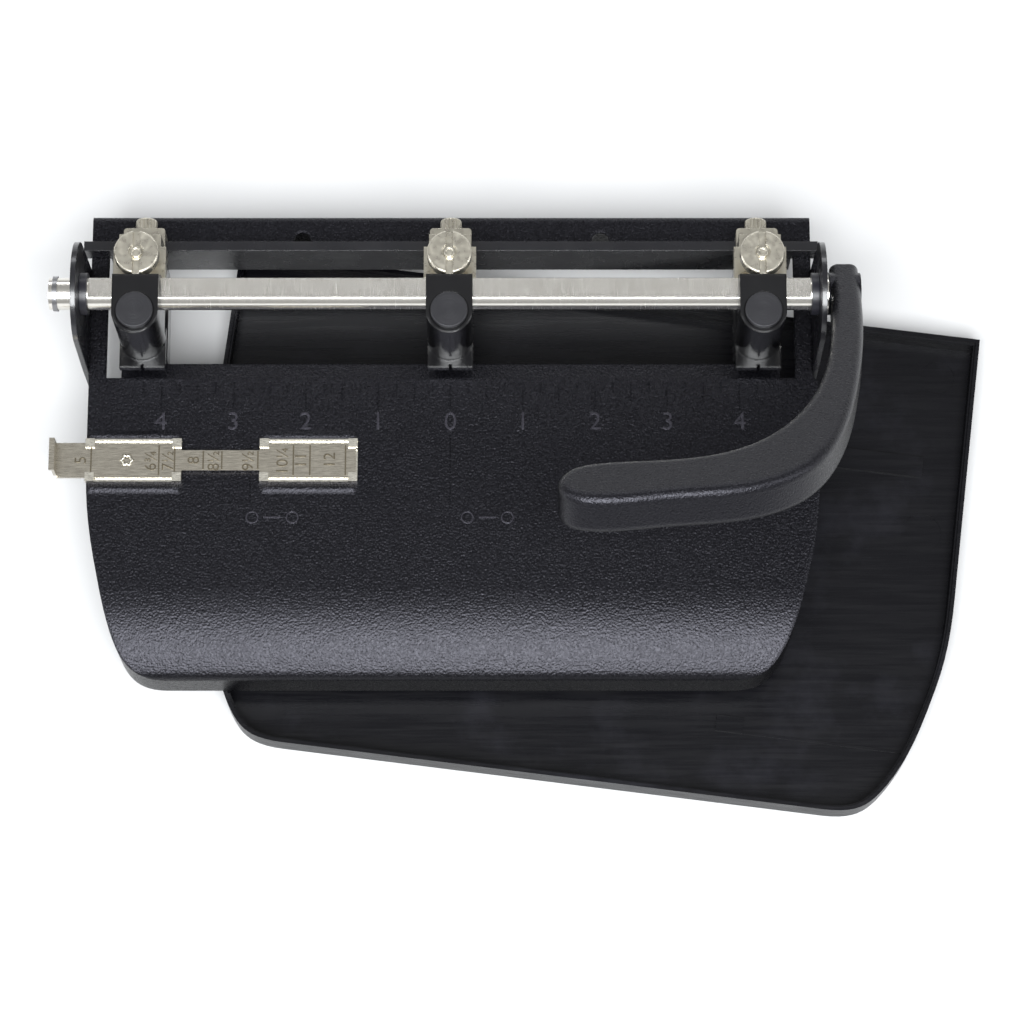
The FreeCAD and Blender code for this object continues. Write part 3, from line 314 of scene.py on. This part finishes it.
def turned_metal(name, colour, gloss, centre, pitch, depth, metallic):
    """Face turned on a lathe: rings round an upright axis, with slight patches in the plating."""
    material = empty_material(name)
    place = add(material, "ShaderNodeTexCoord")
    rounded = add(material, "ShaderNodeBevel", {"samples": BEVEL_SAMPLES}, {"Radius": 0.45 * mm})
    shift = add(material, "ShaderNodeVectorMath", {"operation": "SUBTRACT"},
                {1: (centre[0], centre[1], 0.0)}, {0: (place, "Object")})
    flat = add(material, "ShaderNodeVectorMath", {"operation": "MULTIPLY"}, {1: (1.0, 1.0, 0.0)},
               {0: (shift, "Vector")})
    radius = add(material, "ShaderNodeVectorMath", {"operation": "LENGTH"}, None, {0: (flat, "Vector")})
    ring = add(material, "ShaderNodeCombineXYZ", None, None, {"X": (radius, "Value")})
    tool = add(material, "ShaderNodeTexNoise", None, {"Scale": 1 / pitch, "Detail": 3.0, "Roughness": 0.7},
               {"Vector": (ring, "Vector")})
    patch = add(material, "ShaderNodeTexNoise", None, {"Scale": 420.0, "Detail": 4.0},
                {"Vector": (place, "Object")})
    bump = add(material, "ShaderNodeBump", None, {"Strength": 0.8, "Distance": depth},
               {"Height": (tool, "Fac"), "Normal": (rounded, "Normal")})
    mixed = add(material, "ShaderNodeMix", {"data_type": "RGBA"},
                {"A": linear(colour[0]), "B": linear(colour[1])}, {"Factor": (patch, "Fac")})
    rough = add(material, "ShaderNodeMapRange", None,
                {"From Min": 0.3, "From Max": 0.7, "To Min": gloss - 0.07, "To Max": gloss + 0.1},
                {"Value": (patch, "Fac")})
    shader = add(material, "ShaderNodeBsdfPrincipled", None, {"Metallic": metallic},
                 {"Base Color": (mixed, "Result"), "Roughness": (rough, "Result"),
                  "Normal": (bump, "Normal")})
    return finish_material(material, shader)


# Rings round a centre this far off are as good as straight lines.
FAR_CENTRE = (3.0, 3.0)
nickel = turned_metal("barrel plated nickel", ("d0cbbe", "bdb8a9"), 0.3, FAR_CENTRE, 0.4 * mm,
                      0.01 * mm, 1.0)
tool_steel = drawn_steel("hardened tool steel", "6e6e70", 0.3, 0.3 * mm, EVEN, 0.01 * mm)
for side in ("left", "centre", "right"):
    coat_node(f"{side}_head_casting", gloss_enamel)
    coat_node(f"{side}_clamp_yoke", nickel)
    coat_node(f"{side}_thumb_screw", nickel)
    coat_node(f"{side}_return_spring", spring_steel)
    # The spring shortens as the pin goes down; a copy with a mesh of its own rides on the head in its
    # place.
    spring_node = nodes[f"{side}_return_spring"]
    coil = bpy.data.objects.new(f"{side}_return_coil", spring_node.data.copy())
    bpy.context.scene.collection.objects.link(coil)
    coil.matrix_world = spring_node.matrix_world.copy()
    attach(coil, f"{side}_head")
    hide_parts(f"{side}_return_spring")
    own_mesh(coil)
    coat_node(f"{side}_drive_cam", tool_steel)
    coat_node(f"{side}_die_bush", tool_steel)
    low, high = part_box(f"{side}_lock_nut")
    middle = (low + high) / 2
    faced_nickel = turned_metal(f"{side} nut turned nickel", ("d4cfc2", "c2bdae"), 0.3, middle,
                                0.3 * mm, 0.06 * mm, 1.0)
    coat_node(f"{side}_lock_nut", faced_nickel)
    coat_node(f"{side}_lock_stud", faced_nickel)
    low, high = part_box(f"{side}_punch_pin")
    middle = (low + high) / 2
    blued = turned_metal(f"{side} pin blackened steel", ("343437", "1d1d20"), 0.36, middle,
                         0.35 * mm, 0.12 * mm, 0.5)
    coat_node(f"{side}_punch_pin", blued)

# ---- Paper gauge --------------------------------------------------------------------------
# Strip and clips are cut from nickel-plated spring steel; the sizes and index lines are struck in.
# Sliding has left long fine scratches.
gauge_nickel = drawn_steel("plated gauge strip", "b9b3a6", 0.27, 0.3 * mm, (0.08, 1.0, 1.0), 0.003 * mm)
clip_nickel = drawn_steel("plated folded clip", "dcd8cc", 0.28, 0.3 * mm, (0.2, 1.0, 1.0), 0.003 * mm)
coat_node("paper_gauge", gauge_nickel)
for name in ("left_gauge_clip", "right_gauge_clip", "clip_rivets"):
    coat_node(name, clip_nickel)
# The sizes and index lines stand up in the strip's own metal; their dark colour is painted shade that sets
# them off from it.
painted_shade_figures = drawn_steel("struck figures darkened as painted shade", "665f51", 0.4, 0.5 * mm, EVEN, 0.01 * mm)
gauge_low, gauge_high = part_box("paper_gauge")
GAUGE_Y = (gauge_low.y + gauge_high.y) / 2
clip_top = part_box("left_gauge_clip")[1].z
CLIP_OVER_STRIP = 0.85 * mm
strip_top = clip_top - CLIP_OVER_STRIP
SIZE_HEIGHT = 5.8 * mm
SIZE_RISE = 0.2 * mm
SIZES = (("5", -129.0), ("6¾", -104.5), ("7½", -98.5), ("8", -89.5), ("8½", -82.5), ("9½", -70.5),
         ("10¼", -58.5), ("11", -52.0), ("12", -42.0))
for number, (words, gx) in enumerate(SIZES):
    stamped_text(f"gauge_size_{number + 1}", words, SIZE_HEIGHT, (gx * mm, GAUGE_Y, strip_top), 90,
                 SIZE_RISE, painted_shade_figures, "gauge")
LINE_XS = (-125.5, -101.8, -96.3, -86.3, -79.8, -67.2, -54.8, -49.0, -36.6)
LINE_WIDTH = 0.5 * mm
LINE_RISE = 0.16 * mm
NARROW_FROM, NARROW_TO = -94, -67
NARROW_REACH = 6.6 * mm
WIDE_REACH = 11.0 * mm
for number, gx in enumerate(LINE_XS):
    line = bmesh.new()
    bar = bmesh.ops.create_cube(line, size=1.0)["verts"]
    reach = NARROW_REACH if NARROW_FROM < gx < NARROW_TO else WIDE_REACH
    bmesh.ops.scale(line, vec=(LINE_WIDTH, reach, LINE_RISE), verts=bar)
    bmesh.ops.translate(line, vec=(gx * mm, GAUGE_Y, strip_top), verts=bar)
    mesh_object(f"gauge_line_{number + 1}", line, painted_shade_figures, "gauge", smooth=False)

# A star-shaped dimple is struck up in the strip inside the left clip.
star = bmesh.new()
star_rows = []
STAR_X = -113.0 * mm
STAR_STEPS = 48
STAR_POINTS = 6
STAR_WAVE = 0.14
STAR_SECTION = ((1.1 * mm, 0.0), (1.4 * mm, 0.35 * mm), (1.8 * mm, 0.35 * mm), (2.3 * mm, 0.0))
for step in range(STAR_STEPS):
    angle = 2 * math.pi * step / STAR_STEPS
    wave = 1.0 + STAR_WAVE * math.cos(STAR_POINTS * angle)
    star_rows.append([star.verts.new((STAR_X + r * wave * math.cos(angle),
                                      GAUGE_Y + r * wave * math.sin(angle), strip_top + h))
                      for r, h in STAR_SECTION])
corners = len(STAR_SECTION)
for step in range(STAR_STEPS):
    here, there = star_rows[step], star_rows[(step + 1) % STAR_STEPS]
    for k in range(corners):
        star.faces.new((here[k], there[k], there[(k + 1) % corners], here[(k + 1) % corners]))
mesh_object("gauge_dimple", star, clip_nickel, "gauge")

# ---- Chip tray ----------------------------------------------------------------------------
# Moulded in black polystyrene, with matt upright walls.
# The floor is scuffed and dusty from paper chips.


def scuffed_plastic(name, colour, dust, gloss):
    """Glossy moulded plastic with long scratches and a thin uneven film of dust."""
    material = empty_material(name)
    place = add(material, "ShaderNodeTexCoord")
    long_way = add(material, "ShaderNodeMapping", None,
                   {"Scale": (0.05, 1.0, 1.0), "Rotation": (0.0, 0.0, math.radians(7))},
                   {"Vector": (place, "Object")})
    scratches = add(material, "ShaderNodeTexNoise", None, {"Scale": 700.0, "Detail": 4.0, "Roughness": 0.6},
                    {"Vector": (long_way, "Vector")})
    film = add(material, "ShaderNodeTexNoise", None, {"Scale": 22.0, "Detail": 6.0, "Roughness": 0.65},
               {"Vector": (place, "Object")})
    cover = add(material, "ShaderNodeMapRange", None,
                {"From Min": 0.52, "From Max": 0.8, "To Min": 0.0, "To Max": 0.45},
                {"Value": (film, "Fac")})
    mixed = add(material, "ShaderNodeMix", {"data_type": "RGBA"}, {"A": linear(colour), "B": linear(dust)},
                {"Factor": (cover, "Result")})
    rough = add(material, "ShaderNodeMapRange", None,
                {"From Min": 0.3, "From Max": 0.7, "To Min": gloss - 0.04, "To Max": gloss + 0.08},
                {"Value": (scratches, "Fac")})
    bump = add(material, "ShaderNodeBump", None, {"Strength": 0.4, "Distance": 0.002 * mm},
               {"Height": (scratches, "Fac")})
    shine = wall_shine(material, 0.08, 0.35)
    shader = add(material, "ShaderNodeBsdfPrincipled", None, {"IOR": 1.4},
                 {"Base Color": (mixed, "Result"), "Roughness": (rough, "Result"),
                  "Normal": (bump, "Normal"), "Specular IOR Level": (shine, "Result")})
    return finish_material(material, shader)


tray_plastic = scuffed_plastic("moulded black polystyrene", "060609", "24242a", 0.26)
coat_node("chip_tray", tray_plastic)
rubber = smooth_enamel("moulded rubber", "1a1a1a", 0.8, 0.5 * mm, 0.04 * mm, 0.0, 0.3 * mm)
coat_node("tray_pads", rubber)

# ---- Camera -------------------------------------------------------------------------------
# A long lens looks down from above and a little in front.
camera_data = bpy.data.cameras.new("camera")
camera_data.sensor_width = 36.0
camera_data.lens = 130.0
camera_data.clip_end = 20.0
camera = bpy.data.objects.new("camera", camera_data)
bpy.context.scene.collection.objects.link(camera)
camera.location = (0.0216, -0.370, 1.280)
camera.rotation_euler = (math.radians(15.5), 0.0, 0.0)
bpy.context.scene.camera = camera

# ---- Floor and light ----------------------------------------------------------------------
# A plain pale sweep, lit by four softboxes: a strong one in front and weak ones round the rest.
FLOOR_REACH = 6
floor_mesh = bpy.data.meshes.new("floor")
floor_mesh.from_pydata([(-FLOOR_REACH, -FLOOR_REACH, 0), (FLOOR_REACH, -FLOOR_REACH, 0),
                        (FLOOR_REACH, FLOOR_REACH, 0), (-FLOOR_REACH, FLOOR_REACH, 0)], [], [(0, 1, 2, 3)])
floor = bpy.data.objects.new("floor", floor_mesh)
bpy.context.scene.collection.objects.link(floor)
floor_paint = empty_material("white paper sweep")
floor_shader = add(floor_paint, "ShaderNodeBsdfPrincipled", None,
                   {"Base Color": linear("b4b4b4"), "Roughness": 0.9, "Specular IOR Level": 0.1})
finish_material(floor_paint, floor_shader)
floor_mesh.materials.append(floor_paint)

world = bpy.data.worlds.new("studio")
bpy.context.scene.world = world
world.use_nodes = True
world.node_tree.nodes["Background"].inputs["Color"].default_value = (1, 1, 1, 1)
world.node_tree.nodes["Background"].inputs["Strength"].default_value = 0.4


AIM = (0.0, 0.0, 0.03)


def softbox(name, place, size, power):
    """Rectangular light of one power that faces the middle of the punch."""
    light = bpy.data.lights.new(name, "AREA")
    light.shape = "RECTANGLE"
    light.size, light.size_y = size
    light.energy = power
    light.color = (0.96, 0.98, 1.0)
    lamp = bpy.data.objects.new(name, light)
    bpy.context.scene.collection.objects.link(lamp)
    lamp.location = place
    lamp.rotation_euler = (Vector(AIM) - Vector(place)).to_track_quat("-Z", "Y").to_euler()


softbox("front_softbox", (0.0, -1.1, 2.1), (1.8, 1.3), 140)
softbox("left_softbox", (-1.75, -0.1, 1.15), (0.6, 1.6), 17)
softbox("right_softbox", (1.75, -0.1, 1.2), (0.6, 1.6), 16)
softbox("back_softbox", (0.0, 1.9, 1.0), (2.4, 0.4), 14)

bpy.context.scene.view_settings.view_transform = "Standard"
